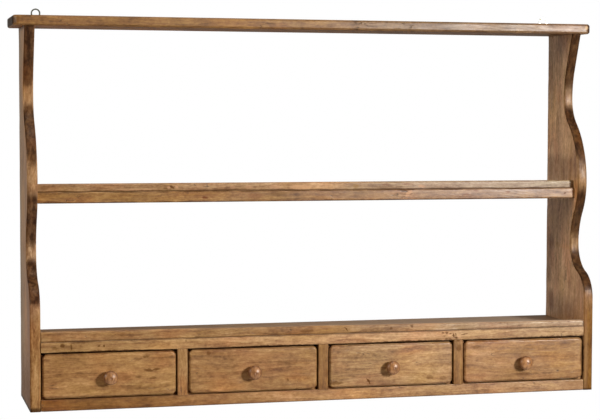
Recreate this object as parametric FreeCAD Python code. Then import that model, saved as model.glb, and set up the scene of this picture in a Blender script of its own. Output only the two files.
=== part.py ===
import FreeCAD, Part
import math
import os

# Wall shelf in pine: scalloped sides, two shelves with plate lips, and a row of four small drawers.
# Millimetres. X runs along the wall to the right, Y into the wall, Z up.
# Everything is laid out from the underside and the wall plane, and write() then moves it so that
# the origin lies on the wall, at the middle of the top board's rear edge.

# Carcass boards
carcass_width = 1252.0
unit_depth = 220.0
side_thickness = 22.0
base_thickness = 24.0
lower_shelf_thickness = 22.0
middle_shelf_thickness = 24.0
top_thickness = 22.0
top_end_overhang = 24.0
top_front_overhang = 2.0
top_corner_radius = 14.0

# Front edge of the sides, from the lower shelf upwards: rises are along Z, the others along Y
shoulder_rise = 62.0
lower_hollow_rise = 119.0
lower_hollow_cut = 81.0
crest_rise = 140.0
crest_swell = 41.0
upper_hollow_rise = 190.0
upper_hollow_cut = 85.0
flare_rise = 145.0
flare_swell = 43.0
# Share of an ogee's summed radii that its lower arc takes, and how much of the flare is round
even_ogee = 0.5
crest_ogee = 0.7
flare_roundness = 0.66

# Shelves and their lips
crest_over_shelf = 13.0
middle_shelf_setback = 19.0
middle_lip_height = 17.0
middle_lip_thickness = 14.0
middle_lip_setback = 6.0
lower_lip_height = 16.0
lower_lip_thickness = 15.0
lower_lip_setback = 2.0

# Worn edges
side_edge_radius = 4.0
top_edge_radius = 5.0
shelf_edge_radius = 3.0
rail_edge_radius = 2.0
divider_edge_radius = 1.5
lip_edge_radius = 4.0

# Joints of the carcass
housing_depth = 7.0
housing_stop = 14.0
divider_housing_depth = 5.0
divider_housing_stop = 16.0
divider_thickness = 22.0
dowel_radius = 5.0
dowel_in_side = 26.0
dowel_in_top = 13.0
dowel_end_room = 1.0
dowel_from_wall = 36.0
dowel_from_front = 38.0
fastener_clearance = 0.1

# Back panel behind the drawers and its pins
panel_thickness = 6.0
panel_lap = 10.0
pin_radius = 0.9
pin_head_radius = 1.9
pin_head_height = 1.0
pin_length = 22.0

# Hanging eyes on the rear edge of the top board
eye_inset = 36.5
eye_rise = 11.0
eye_hole_radius = 7.5
eye_rim = 3.0
hanger_thickness = 2.0
tongue_width = 12.0
tongue_drop = 18.0
hanger_screw_spacing = 9.0
hanger_screw_margin = 4.5
hanger_screw_radius = 1.6
hanger_screw_head_radius = 3.2
hanger_screw_length = 20.0

# Drawers
drawer_count = 4
drawer_opening_height = 98.0
front_thickness = 20.0
front_side_gap = 2.5
front_top_gap = 3.0
front_bottom_gap = 2.0
front_corner_radius = 10.0
front_edge_radius = 5.5
drawer_wall = 12.0
drawer_top_room = 6.0
drawer_rear_room = 0.5
front_lap = 10.0
drawer_back_thickness = 12.0
drawer_back_inset = 10.0
drawer_back_housing = 5.0
drawer_back_drop = 8.0
bottom_thickness = 5.0
bottom_rise = 8.0
bottom_groove = 5.0

# Turned knobs and the screws that hold them
knob_rise = 42.0
knob_radius = 15.2
knob_shoulder_radius = 9.0
knob_crown_height = 11.2
knob_neck_radius = 7.5
knob_neck_length = 1.4
knob_collar_radius = 10.0
knob_collar_length = 1.2
knob_cove_length = 1.6
knob_screw_radius = 2.0
knob_screw_grip = 14.0
knob_screw_head_radius = 4.2
knob_screw_head_height = 2.6

# Levels and widths that follow from the sizes above
lower_shelf_level = base_thickness + drawer_opening_height
lower_shelf_top = lower_shelf_level + lower_shelf_thickness
shoulder_level = lower_shelf_top + shoulder_rise
lower_hollow_level = shoulder_level + lower_hollow_rise
crest_level = lower_hollow_level + crest_rise
upper_hollow_level = crest_level + upper_hollow_rise
side_height = upper_hollow_level + flare_rise
top_level = side_height + top_thickness
middle_shelf_top = crest_level - crest_over_shelf
middle_shelf_level = middle_shelf_top - middle_shelf_thickness
lower_hollow_depth = unit_depth - lower_hollow_cut
crest_depth = lower_hollow_depth + crest_swell
upper_hollow_depth = crest_depth - upper_hollow_cut
flare_depth = upper_hollow_depth + flare_swell
top_depth = flare_depth + top_front_overhang
middle_shelf_depth = crest_depth - middle_shelf_setback
inner_width = carcass_width - 2 * side_thickness
bay_width = (inner_width - (drawer_count - 1) * divider_thickness) / drawer_count
bay_pitch = bay_width + divider_thickness
eye_x = carcass_width / 2 - eye_inset
eye_level = top_level + eye_rise
origin_level = side_height + top_thickness / 2

WALL = FreeCAD.Vector(0, 1, 0)
UP = FreeCAD.Vector(0, 0, 1)


def box(x0, x1, y0, y1, z0, z1):
    """A block between two corners."""
    return Part.makeBox(x1 - x0, y1 - y0, z1 - z0, FreeCAD.Vector(x0, y0, z0))


def rod(radius, length, base, direction):
    """A round bar of the given length from base along direction."""
    return Part.makeCylinder(radius, length, base, direction)


def edges_where(shape, test):
    """The edges whose two ends and box pass a test."""
    return [edge for edge in shape.Edges if test(edge.BoundBox)]


def ease(shape, radius, test):
    """Round over the chosen edges."""
    return shape.makeFillet(radius, edges_where(shape, test))


def level_with(value, other):
    """True where two coordinates agree."""
    return abs(value - other) < 1e-4


def wall_point(depth, height):
    """A point of a side's outline: depth in front of the wall, height above the underside."""
    return FreeCAD.Vector(0, -depth, height)


def arc_about(centre, start, end):
    """The short arc from start to end round centre."""
    radius = (start - centre).Length
    toward = (start - centre) + (end - centre)
    middle = centre + toward * (radius / toward.Length)
    return Part.Arc(start, middle, end).toShape()


def ogee(low, high, low_share):
    """Two tangent arcs that leave low and reach high upright, with the radii shared as given."""
    rise = high.z - low.z
    step = high.y - low.y
    radii = (rise ** 2 + step ** 2) / (2 * abs(step))
    turn = math.copysign(1, step)
    low_radius = radii * low_share
    high_radius = radii - low_radius
    low_centre = low + FreeCAD.Vector(0, turn * low_radius, 0)
    high_centre = high - FreeCAD.Vector(0, turn * high_radius, 0)
    meeting = low_centre + (high_centre - low_centre) * low_share
    return [arc_about(low_centre, low, meeting), arc_about(high_centre, meeting, high)]


def flare(low, high, roundness):
    """An arc that leaves low upright and a straight run that follows it to high."""
    rise = high.z - low.z
    step = low.y - high.y
    radius = roundness * (rise ** 2 + step ** 2) / (2 * step)
    centre = low - FreeCAD.Vector(0, radius, 0)
    to_end = high - centre
    angle = math.atan2(to_end.z, to_end.y) - math.acos(radius / to_end.Length)
    touch = centre + FreeCAD.Vector(0, math.cos(angle), math.sin(angle)) * radius
    return [arc_about(centre, low, touch), Part.LineSegment(touch, high).toShape()]


def side_outline():
    """The closed outline of a side, seen along X."""
    foot_back = wall_point(0, 0)
    foot_front = wall_point(unit_depth, 0)
    shoulder = wall_point(unit_depth, shoulder_level)
    lower_hollow = wall_point(lower_hollow_depth, lower_hollow_level)
    crest = wall_point(crest_depth, crest_level)
    upper_hollow = wall_point(upper_hollow_depth, upper_hollow_level)
    head_front = wall_point(flare_depth, side_height)
    head_back = wall_point(0, side_height)
    edges = [Part.LineSegment(foot_back, foot_front).toShape()]
    edges.append(Part.LineSegment(foot_front, shoulder).toShape())
    edges += ogee(shoulder, lower_hollow, even_ogee)
    edges += ogee(lower_hollow, crest, even_ogee)
    edges += ogee(crest, upper_hollow, crest_ogee)
    edges += flare(upper_hollow, head_front, flare_roundness)
    edges.append(Part.LineSegment(head_front, head_back).toShape())
    edges.append(Part.LineSegment(head_back, foot_back).toShape())
    return Part.Face(Part.Wire(edges))


def housed_board(length, depth, thickness, level):
    """A shelf board whose ends enter the sides' housings, short of its front edge."""
    half = length / 2
    tongue = half + housing_depth
    shoulder = -depth + housing_stop
    corners = [(-half, -depth), (half, -depth), (half, shoulder), (tongue, shoulder),
               (tongue, 0), (-tongue, 0), (-tongue, shoulder), (-half, shoulder)]
    points = [FreeCAD.Vector(x, y, level) for x, y in corners]
    outline = Part.makePolygon(points + points[:1])
    return Part.Face(outline).extrude(UP * thickness)


def housing(sign, depth, thickness, level):
    """The space that a housed board takes in one side."""
    face = sign * inner_width / 2
    floor = face + sign * housing_depth
    return box(min(face, floor), max(face, floor), -depth + housing_stop, 0, level, level + thickness)


def divider_x(index):
    """The middle of a divider, counted from the left."""
    return -inner_width / 2 + (index + 1) * bay_pitch - divider_thickness / 2


def bay_x(index):
    """The middle of a drawer opening, counted from the left."""
    return -inner_width / 2 + index * bay_pitch + bay_width / 2


def make_divider(index):
    """An upright board between two drawers, housed above and below short of its front edge."""
    left = divider_x(index) - divider_thickness / 2
    right = left + divider_thickness
    upright = box(left, right, -unit_depth, -panel_thickness, base_thickness, lower_shelf_level)
    upright = ease(upright, divider_edge_radius,
                   lambda b: level_with(b.YMin, -unit_depth) and level_with(b.YMax, -unit_depth)
                   and b.ZLength > divider_thickness)
    low = base_thickness - divider_housing_depth
    high = lower_shelf_level + divider_housing_depth
    front = -unit_depth + divider_housing_stop
    return upright.fuse(box(left, right, front, -panel_thickness, low, high)).removeSplitter()


def panel_space():
    """The back panel's block, which its rebates match."""
    half = inner_width / 2 + panel_lap
    return box(-half, half, -panel_thickness, 0, base_thickness - panel_lap, lower_shelf_level + panel_lap)


def pin_places():
    """Where the pins enter the back panel."""
    low = base_thickness - panel_lap / 2
    high = lower_shelf_level + panel_lap / 2
    middle = (base_thickness + lower_shelf_level) / 2
    end = inner_width / 2 + panel_lap / 2
    places = [(bay_x(i), z) for i in range(drawer_count) for z in (low, high)]
    places += [(-end, middle), (end, middle)]
    return [FreeCAD.Vector(x, 0, z) for x, z in places]


def pin(place, spare):
    """One panel pin, or with spare the hole that it is driven into."""
    head = rod(pin_head_radius + spare, pin_head_height, place, -WALL)
    return head.fuse(rod(pin_radius + spare, pin_length + spare, place, -WALL))


def pin_holes():
    """The holes of every panel pin."""
    return [pin(place, fastener_clearance) for place in pin_places()]


def dowel_places(sign):
    """Where the dowels cross the joint between a side and the top board."""
    x = sign * (carcass_width - side_thickness) / 2
    return [FreeCAD.Vector(x, y, side_height) for y in (-dowel_from_wall, -flare_depth + dowel_from_front)]


def dowel(place, spare, end_room):
    """One dowel, or with spare and end room the bore that it sits in."""
    foot = place - UP * (dowel_in_side + end_room)
    return rod(dowel_radius + spare, dowel_in_side + dowel_in_top + 2 * end_room, foot, UP)


def dowel_bores(sign):
    """The bores at the head of one side."""
    return [dowel(place, fastener_clearance, dowel_end_room) for place in dowel_places(sign)]


def hanger_screw_places(sign):
    """Where the screws enter a hanger, on the wall plane."""
    low = top_level - tongue_drop + hanger_screw_margin
    levels = (low, low + hanger_screw_spacing)
    return [FreeCAD.Vector(sign * eye_x, 0, z) for z in levels]


def hanger_screw(place, spare):
    """One countersunk screw, or with spare its hole."""
    cone = Part.makeCone(hanger_screw_head_radius + spare, hanger_screw_radius + spare,
                         hanger_screw_head_radius - hanger_screw_radius, place, -WALL)
    return cone.fuse(rod(hanger_screw_radius + spare, hanger_screw_length + spare, place, -WALL))


def hanger_blank(sign):
    """The tongue of a hanger, which lies in a notch of the top board."""
    x = sign * eye_x
    return box(x - tongue_width / 2, x + tongue_width / 2, -hanger_thickness, 0,
               top_level - tongue_drop, top_level)


def make_hanger(sign):
    """A stamped plate: a ring that stands over the top board on a tongue let into its rear edge."""
    x = sign * eye_x
    centre = FreeCAD.Vector(x, 0, eye_level)
    ring = rod(eye_hole_radius + eye_rim, hanger_thickness, centre, -WALL)
    stem = box(x - tongue_width / 2, x + tongue_width / 2, -hanger_thickness, 0, top_level, eye_level)
    plate = ring.fuse([stem, hanger_blank(sign)]).removeSplitter()
    plate = plate.cut(rod(eye_hole_radius, hanger_thickness, centre, -WALL))
    holes = [hanger_screw(place, fastener_clearance) for place in hanger_screw_places(sign)]
    return plate.cut(holes)


def make_side(sign):
    """One scalloped side with its housings, rebate and bores."""
    outer = sign * carcass_width / 2
    inner = sign * inner_width / 2
    board = side_outline().extrude(FreeCAD.Vector(side_thickness, 0, 0))
    board = ease(board, side_edge_radius, lambda b: b.XLength < 1e-4 and b.YMax < -1e-4)
    board.translate(FreeCAD.Vector(min(outer, inner), 0, 0))
    cuts = [housing(sign, unit_depth, base_thickness, 0),
            housing(sign, unit_depth, lower_shelf_thickness, lower_shelf_level),
            housing(sign, middle_shelf_depth, middle_shelf_thickness, middle_shelf_level),
            panel_space()]
    return board.cut(cuts + dowel_bores(sign) + pin_holes())


def make_top_board():
    """The top board, rounded at its front corners and edges, bored and notched at the back."""
    half = carcass_width / 2 + top_end_overhang
    board = box(-half, half, -top_depth, 0, side_height, top_level)
    board = ease(board, top_corner_radius,
                 lambda b: level_with(b.YMax, -top_depth) and b.ZLength > top_thickness / 2)
    board = ease(board, top_edge_radius, lambda b: b.ZLength < 1e-4 and not level_with(b.YMin, 0))
    cuts = []
    for sign in (-1, 1):
        cuts += dowel_bores(sign)
        cuts.append(hanger_blank(sign))
        cuts += [hanger_screw(place, fastener_clearance) for place in hanger_screw_places(sign)]
    return board.cut(cuts)


def ease_front(board, depth, radius):
    """Round the two long front edges of a board."""
    return ease(board, radius, lambda b: level_with(b.YMin, -depth) and level_with(b.YMax, -depth)
                and b.XLength > inner_width / 2)


def make_middle_shelf():
    """The middle shelf."""
    board = housed_board(inner_width, middle_shelf_depth, middle_shelf_thickness, middle_shelf_level)
    return ease_front(board, middle_shelf_depth, shelf_edge_radius)


def divider_tongues():
    """The dividers' tongues, as the housings that take them."""
    return [make_divider(index) for index in range(drawer_count - 1)]


def make_lower_shelf():
    """The shelf over the drawers, whose front edge is the rail above them."""
    board = housed_board(inner_width, unit_depth, lower_shelf_thickness, lower_shelf_level)
    board = ease_front(board, unit_depth, rail_edge_radius)
    return board.cut(divider_tongues() + [panel_space()] + pin_holes())


def make_base_board():
    """The board that the drawers run on."""
    board = housed_board(inner_width, unit_depth, base_thickness, 0)
    board = ease_front(board, unit_depth, rail_edge_radius)
    return board.cut(divider_tongues() + [panel_space()] + pin_holes())


def make_lip(front, thickness, height, level):
    """A strip along a shelf that keeps plates from sliding off, rounded along its top."""
    half = inner_width / 2
    strip = box(-half, half, front, front + thickness, level, level + height)
    return ease(strip, lip_edge_radius, lambda b: level_with(b.ZMin, level + height) and b.XLength > thickness)


def make_back_panel():
    """The thin panel behind the drawers."""
    return panel_space().cut(pin_holes())


class Drawer:
    """The pieces of one drawer, laid out in its opening."""

    def __init__(self, index):
        self.x = bay_x(index)
        self.half_width = bay_width / 2 - front_side_gap
        self.floor = base_thickness
        self.front_low = base_thickness + front_bottom_gap
        self.front_high = lower_shelf_level - front_top_gap
        self.wall_high = lower_shelf_level - drawer_top_room
        self.rear = -panel_thickness - drawer_rear_room
        self.front_rear = -unit_depth + front_thickness
        self.back_rear = self.rear - drawer_back_inset
        self.bottom_low = self.floor + bottom_rise
        self.bottom_high = self.bottom_low + bottom_thickness
        self.knob_level = self.front_low + knob_rise

    def bottom(self):
        """The thin bottom, held in grooves and passing under the back."""
        half = self.half_width - drawer_wall + bottom_groove
        return box(self.x - half, self.x + half, self.front_rear - bottom_groove, self.rear,
                   self.bottom_low, self.bottom_high)

    def wall(self, sign):
        """One wall, lapped into the front, with a groove for the bottom and a housing for the back."""
        outer = self.x + sign * self.half_width
        inner = outer - sign * drawer_wall
        board = box(min(outer, inner), max(outer, inner), self.front_rear - front_lap, self.rear,
                    self.floor, self.wall_high)
        return board.cut([self.bottom(), self.back()])

    def back(self):
        """The back, standing on the bottom between the walls."""
        half = self.half_width - drawer_wall + drawer_back_housing
        return box(self.x - half, self.x + half, self.back_rear - drawer_back_thickness, self.back_rear,
                   self.bottom_high, self.wall_high - drawer_back_drop)

    def front(self):
        """The front, rounded all round, with laps for the walls, a groove and the knob screw's hole."""
        board = box(self.x - self.half_width, self.x + self.half_width, -unit_depth, self.front_rear,
                    self.front_low, self.front_high)
        board = ease(board, front_corner_radius, lambda b: b.YLength > front_thickness / 2)
        board = ease(board, front_edge_radius, lambda b: level_with(b.YMax, -unit_depth))
        cuts = [self.bottom(), self.screw(fastener_clearance)]
        for sign in (-1, 1):
            outer = self.x + sign * self.half_width
            inner = outer - sign * drawer_wall
            cuts.append(box(min(outer, inner), max(outer, inner), self.front_rear - front_lap,
                            self.front_rear, self.floor, self.front_high))
        return board.cut(cuts)

    def knob(self):
        """A turned knob: collar, cove, neck, a round shoulder and a flatter crown, bored for its screw."""
        neck_start = knob_collar_length + knob_cove_length
        neck_end = neck_start + knob_neck_length
        hub = knob_radius - knob_shoulder_radius
        middle = neck_end + math.sqrt(knob_shoulder_radius ** 2 - (knob_neck_radius - hub) ** 2)
        flatness = knob_crown_height - knob_shoulder_radius
        crown_radius = (hub ** 2 + knob_crown_height ** 2 - knob_shoulder_radius ** 2) / (2 * flatness)

        def turned(radius, reach):
            return FreeCAD.Vector(radius, -reach, 0)

        tip = turned(0, middle + knob_crown_height)
        crown_centre = turned(0, middle + knob_crown_height - crown_radius)
        shoulder_centre = turned(hub, middle)
        outward = (shoulder_centre - crown_centre).normalize()
        meeting = crown_centre + outward * crown_radius
        neck = turned(knob_neck_radius, neck_end)
        bore = knob_screw_radius + fastener_clearance
        bore_end = knob_screw_grip + fastener_clearance
        corners = [tip, turned(0, bore_end), turned(bore, bore_end), turned(bore, 0),
                   turned(knob_collar_radius, 0), turned(knob_collar_radius, knob_collar_length),
                   turned(knob_neck_radius, neck_start), neck]
        edges = Part.makePolygon(corners).Edges
        edges.append(Part.Arc(neck, turned(knob_radius, middle), meeting).toShape())
        edges.append(arc_about(crown_centre, meeting, tip))
        solid = Part.Face(Part.Wire(edges)).revolve(FreeCAD.Vector(0, 0, 0), WALL, 360)
        solid.translate(FreeCAD.Vector(self.x, -unit_depth, self.knob_level))
        return solid

    def screw(self, spare):
        """The screw that passes through the front into the knob, or with spare its hole."""
        seat = FreeCAD.Vector(self.x, self.front_rear, self.knob_level)
        shank = rod(knob_screw_radius + spare, front_thickness + knob_screw_grip + spare, seat, -WALL)
        if spare:
            return shank
        head = rod(knob_screw_head_radius, knob_screw_head_height, seat, WALL)
        head = ease(head, knob_screw_head_height / 2,
                    lambda b: level_with(b.YMin, self.front_rear + knob_screw_head_height))
        return head.fuse(shank)


def write(name, shape):
    """Save one piece, moved to the part's origin."""
    solid = shape.copy()
    solid.translate(FreeCAD.Vector(0, 0, -origin_level))
    if not solid.isValid():
        raise ValueError(name + " is not a valid solid")
    solid.exportStep("parts/" + name + ".step")


def write_carcass():
    """Save the boards, the hangers and their fasteners."""
    write("top_board", make_top_board())
    write("left_side", make_side(-1))
    write("right_side", make_side(1))
    write("middle_shelf", make_middle_shelf())
    write("middle_lip", make_lip(-middle_shelf_depth + middle_lip_setback, middle_lip_thickness,
                                 middle_lip_height, middle_shelf_top))
    write("lower_shelf", make_lower_shelf())
    write("lower_lip", make_lip(-unit_depth + lower_lip_setback, lower_lip_thickness,
                                lower_lip_height, lower_shelf_top))
    write("base_board", make_base_board())
    for index in range(drawer_count - 1):
        write("divider_%d" % (index + 1), make_divider(index))
    write("back_panel", make_back_panel())
    write("back_panel_pins", Part.makeCompound([pin(place, 0) for place in pin_places()]))
    write("left_hanger", make_hanger(-1))
    write("right_hanger", make_hanger(1))
    screws = [hanger_screw(place, 0) for sign in (-1, 1) for place in hanger_screw_places(sign)]
    write("hanger_screws", Part.makeCompound(screws))
    dowels = [dowel(place, 0, 0) for sign in (-1, 1) for place in dowel_places(sign)]
    write("top_dowels", Part.makeCompound(dowels))


def write_drawers():
    """Save the pieces of every drawer."""
    for index in range(drawer_count):
        drawer = Drawer(index)
        prefix = "drawer_%d_" % (index + 1)
        write(prefix + "front", drawer.front())
        write(prefix + "left_wall", drawer.wall(-1))
        write(prefix + "right_wall", drawer.wall(1))
        write(prefix + "back", drawer.back())
        write(prefix + "bottom", drawer.bottom())
        write(prefix + "knob", drawer.knob())
        write(prefix + "knob_screw", drawer.screw(0))


os.makedirs("parts", exist_ok=True)
write_carcass()
write_drawers()
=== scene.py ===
import logging
import math
from dataclasses import dataclass, replace
from enum import Enum

import bmesh
import bpy
from mathutils import Matrix, Vector, noise


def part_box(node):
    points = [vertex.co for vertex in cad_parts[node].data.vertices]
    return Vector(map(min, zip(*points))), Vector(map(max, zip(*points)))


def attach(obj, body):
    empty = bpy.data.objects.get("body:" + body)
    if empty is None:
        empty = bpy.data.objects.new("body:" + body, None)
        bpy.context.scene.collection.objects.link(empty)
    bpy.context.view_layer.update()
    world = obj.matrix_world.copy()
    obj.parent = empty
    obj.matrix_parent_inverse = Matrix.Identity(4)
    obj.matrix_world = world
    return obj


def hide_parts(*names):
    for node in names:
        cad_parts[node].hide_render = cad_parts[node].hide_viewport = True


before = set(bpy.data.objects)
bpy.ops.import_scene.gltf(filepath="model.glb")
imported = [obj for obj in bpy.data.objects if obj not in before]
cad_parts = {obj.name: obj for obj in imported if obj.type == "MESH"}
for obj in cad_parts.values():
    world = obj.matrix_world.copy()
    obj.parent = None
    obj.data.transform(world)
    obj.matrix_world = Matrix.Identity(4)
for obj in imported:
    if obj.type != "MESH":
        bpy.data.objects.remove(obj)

LOG = logging.getLogger("wall_shelf")
Colour = tuple[float, float, float, float]
Pair = tuple[float, float]
Triple = tuple[float, float, float]
Fade = tuple[Triple, Triple, Triple]
Socket = bpy.types.NodeSocket

MM = 0.001
IMAGE_WIDTH = 600
CARCASS = "carcass"
PLAIN: Triple = (1.0, 1.0, 1.0)
EVEN: Fade = (PLAIN, PLAIN, PLAIN)
CLEAN: Pair = (0.0, 0.0)
LEVEL: Pair = (0.0, 0.0)
UPRIGHT_PITH: Triple = (0.0, 0.09, 0.05)
MERGE_DISTANCE = 0.00001
SHARP_TURN = math.radians(38)
# Where the painted shade in the gap round a drawer starts and ends, behind the front face
GAP_SHADE_START = 0.0022
GAP_SHADE_END = 0.007


class Grain(Enum):
    """The way that the fibres of a board run."""

    ALONG = "from left to right"
    UPRIGHT = "from foot to head"
    INWARD = "from front to back"


class Face(Enum):
    """The face of a board that is seen most."""

    FRONT = "front"
    SIDE = "side"
    TOP = "top"


def paint(red: int, green: int, blue: int) -> Colour:
    """A colour as a picture holds it, turned into the light values that a shader takes.

    Args:
        red: Red from 0 to 255.
        green: Green from 0 to 255.
        blue: Blue from 0 to 255.

    Returns:
        Linear red, green and blue, and an alpha of one.
    """
    values = [part / 255 for part in (red, green, blue)]
    linear = [v / 12.92 if v <= 0.04045 else ((v + 0.055) / 1.055) ** 2.4 for v in values]
    return (linear[0], linear[1], linear[2], 1.0)


def stops_of(fade: Fade) -> list[tuple[float, Colour]]:
    """The three tints of a fade as evenly spaced stops of a colour ramp."""
    return [(index / 2, (*tint, 1.0)) for index, tint in enumerate(fade)]


# Tones that age gives to the wood, and tones of painted shade and reflection, noted at each
HEART = paint(74, 43, 24)
CRACK = paint(66, 41, 22)
HOLE = paint(60, 37, 20)
# Dark stain at the arrises, which in the joint lines between boards is painted shade
ARRIS = paint(58, 31, 10)
# Painted shade in the gap round a drawer
GAP_SHADE_TONE = paint(40, 20, 7)
# Pale dust; on the lower shelf and lip it is also painted sheen
DUST_AND_SHEEN = paint(190, 169, 150)
PALE = paint(206, 160, 124)
# Painted reflection of the right side in the shelf's top beside it
PAINTED_SIDE_REFLECTION = paint(112, 72, 48)
# Painted shade along the foot of the rail, over the gap above the drawers
RAIL_GAP_SHADE = paint(58, 26, 5)
DUSKY = paint(112, 62, 40)
DUSK = paint(98, 40, 22)
# Painted shade
SHADE = paint(92, 52, 32)

# Tints that the colour of the wood is multiplied with
REDDISH: Colour = (1.0, 0.89, 0.87, 1.0)
OLIVE: Colour = (0.91, 0.92, 0.83, 1.0)
GOLDEN: Colour = (1.14, 1.08, 0.92, 1.0)
# Darker, warmer tint for faces that look down: painted shade
UNDERSIDE_SHADE: Colour = (1.1, 0.86, 0.52, 1.0)


class NodeSheet:
    """The node tree of one material, with short calls for the nodes that the finishes use."""

    def __init__(self, name: str) -> None:
        """Makes an empty material with an output.

        Args:
            name: Name of the material.
        """
        self.material = bpy.data.materials.new(name)
        self.material.use_nodes = True
        self.tree = self.material.node_tree
        self.tree.nodes.clear()
        self.output = self.tree.nodes.new("ShaderNodeOutputMaterial")

    def add(self, kind: str, **settings: object) -> bpy.types.Node:
        """Adds a node and sets its properties.

        Args:
            kind: Type of the node.
            settings: Properties by name.

        Returns:
            The new node.
        """
        node = self.tree.nodes.new(kind)
        for name, value in settings.items():
            setattr(node, name, value)
        return node

    def feed(self, socket: Socket, value: object) -> None:
        """Links a socket into an input, or sets the input to a constant.

        Args:
            socket: The input.
            value: A socket or a constant.
        """
        if isinstance(value, bpy.types.NodeSocket):
            self.tree.links.new(value, socket)
        else:
            socket.default_value = value

    def place(self) -> Socket:
        """The point on the piece, in the object's own frame."""
        return self.add("ShaderNodeTexCoord").outputs["Object"]

    def mapped(self, vector: Socket, scale: Triple = (1, 1, 1), location: Triple = (0, 0, 0),
               rotation: Triple = (0, 0, 0)) -> Socket:
        """A point that is scaled, turned and moved.

        Args:
            vector: The point.
            scale: Factor along each axis.
            location: Move after the scale and the turn.
            rotation: Turn about each axis in radians.

        Returns:
            The mapped point.
        """
        node = self.add("ShaderNodeMapping")
        self.feed(node.inputs["Vector"], vector)
        node.inputs["Scale"].default_value = scale
        node.inputs["Location"].default_value = location
        node.inputs["Rotation"].default_value = rotation
        return node.outputs["Vector"]

    def parts(self, vector: Socket) -> tuple[Socket, Socket, Socket]:
        """Takes a vector apart.

        Args:
            vector: The vector.

        Returns:
            Its three parts.
        """
        node = self.add("ShaderNodeSeparateXYZ")
        self.feed(node.inputs[0], vector)
        return tuple(node.outputs)

    def facing(self) -> tuple[Socket, Socket, Socket]:
        """The three parts of the direction that the surface faces."""
        return self.parts(self.add("ShaderNodeNewGeometry").outputs["Normal"])

    def length(self, vector: Socket) -> Socket:
        """Measures a vector.

        Args:
            vector: The vector.

        Returns:
            Its length.
        """
        node = self.add("ShaderNodeVectorMath", operation="LENGTH")
        self.feed(node.inputs[0], vector)
        return node.outputs["Value"]

    def reach(self, vector: Socket, centre: Triple, unit: Triple, tilt: float = 0.0) -> Socket:
        """Measures how far a point is from a centre.

        Args:
            vector: The point.
            centre: The centre.
            unit: What counts as one along each axis.
            tilt: Turn of these axes about Y in radians.

        Returns:
            The distance in those units.
        """
        node = self.add("ShaderNodeMapping", vector_type="TEXTURE")
        self.feed(node.inputs["Vector"], vector)
        node.inputs["Location"].default_value = centre
        node.inputs["Rotation"].default_value = (0.0, tilt, 0.0)
        node.inputs["Scale"].default_value = unit
        return self.length(node.outputs["Vector"])

    def noise_node(self, vector: Socket, detail: float, roughness: float) -> bpy.types.Node:
        """Adds a noise of about one cell for each unit of the vector.

        Args:
            vector: The point.
            detail: Number of finer layers.
            roughness: Weight of each finer layer.

        Returns:
            The node.
        """
        node = self.add("ShaderNodeTexNoise")
        self.feed(node.inputs["Vector"], vector)
        node.inputs["Scale"].default_value = 1
        node.inputs["Detail"].default_value = detail
        node.inputs["Roughness"].default_value = roughness
        return node

    def noise(self, vector: Socket, scale: Triple, detail: float = 3, roughness: float = 0.55,
              location: Triple = (0, 0, 0)) -> Socket:
        """Soft noise with the given number of cells for each metre along each axis."""
        mapped = self.mapped(vector, scale=scale, location=location)
        return self.noise_node(mapped, detail, roughness).outputs["Fac"]

    def noise_vector(self, vector: Socket, scale: Triple) -> Socket:
        """Three soft noises at once, as the parts of a vector."""
        return self.noise_node(self.mapped(vector, scale=scale), 2, 0.5).outputs["Color"]

    def cells(self, vector: Socket) -> bpy.types.Node:
        """Scatters points, about one for each unit of the vector.

        Args:
            vector: The point.

        Returns:
            The node, with the distance and the colour of the nearest one.
        """
        node = self.add("ShaderNodeTexVoronoi")
        self.feed(node.inputs["Vector"], vector)
        node.inputs["Scale"].default_value = 1
        return node

    def sum(self, operation: str, first: object, second: object, clamp: bool = False) -> Socket:
        """One step of arithmetic on two numbers.

        Args:
            operation: Name of the step, as the Math node has it.
            first: A socket or a number.
            second: A socket or a number.
            clamp: Whether the result stays from zero to one.

        Returns:
            The result.
        """
        node = self.add("ShaderNodeMath", operation=operation, use_clamp=clamp)
        self.feed(node.inputs[0], first)
        self.feed(node.inputs[1], second)
        return node.outputs[0]

    def vector_sum(self, operation: str, first: object, second: object) -> Socket:
        """One step of arithmetic on two vectors.

        Args:
            operation: Name of the step, as the Vector Math node has it.
            first: A socket or a vector.
            second: A socket or a vector.

        Returns:
            The result.
        """
        node = self.add("ShaderNodeVectorMath", operation=operation)
        self.feed(node.inputs[0], first)
        self.feed(node.inputs[1], second)
        return node.outputs[0]

    def span(self, value: Socket, low: float, high: float, to_low: float = 0,
             to_high: float = 1) -> Socket:
        """A number that is moved smoothly from one span to another and held at its ends.

        Args:
            value: The number.
            low: Where the first span starts.
            high: Where the first span ends.
            to_low: Where the second span starts.
            to_high: Where the second span ends.

        Returns:
            The moved number.
        """
        node = self.add("ShaderNodeMapRange", interpolation_type="SMOOTHSTEP")
        self.feed(node.inputs["Value"], value)
        node.inputs["From Min"].default_value = low
        node.inputs["From Max"].default_value = high
        node.inputs["To Min"].default_value = to_low
        node.inputs["To Max"].default_value = to_high
        return node.outputs["Result"]

    def mix(self, share: object, first: object, second: object, blend: str = "MIX") -> Socket:
        """A mix of two colours.

        Args:
            share: How much of the second colour is taken.
            first: A socket or a colour.
            second: A socket or a colour.
            blend: Kind of mix, as the Mix node has it.

        Returns:
            The mixed colour.
        """
        node = self.add("ShaderNodeMix", data_type="RGBA", blend_type=blend)
        self.feed(node.inputs[0], share)
        self.feed(node.inputs[6], first)
        self.feed(node.inputs[7], second)
        return node.outputs[2]

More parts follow.
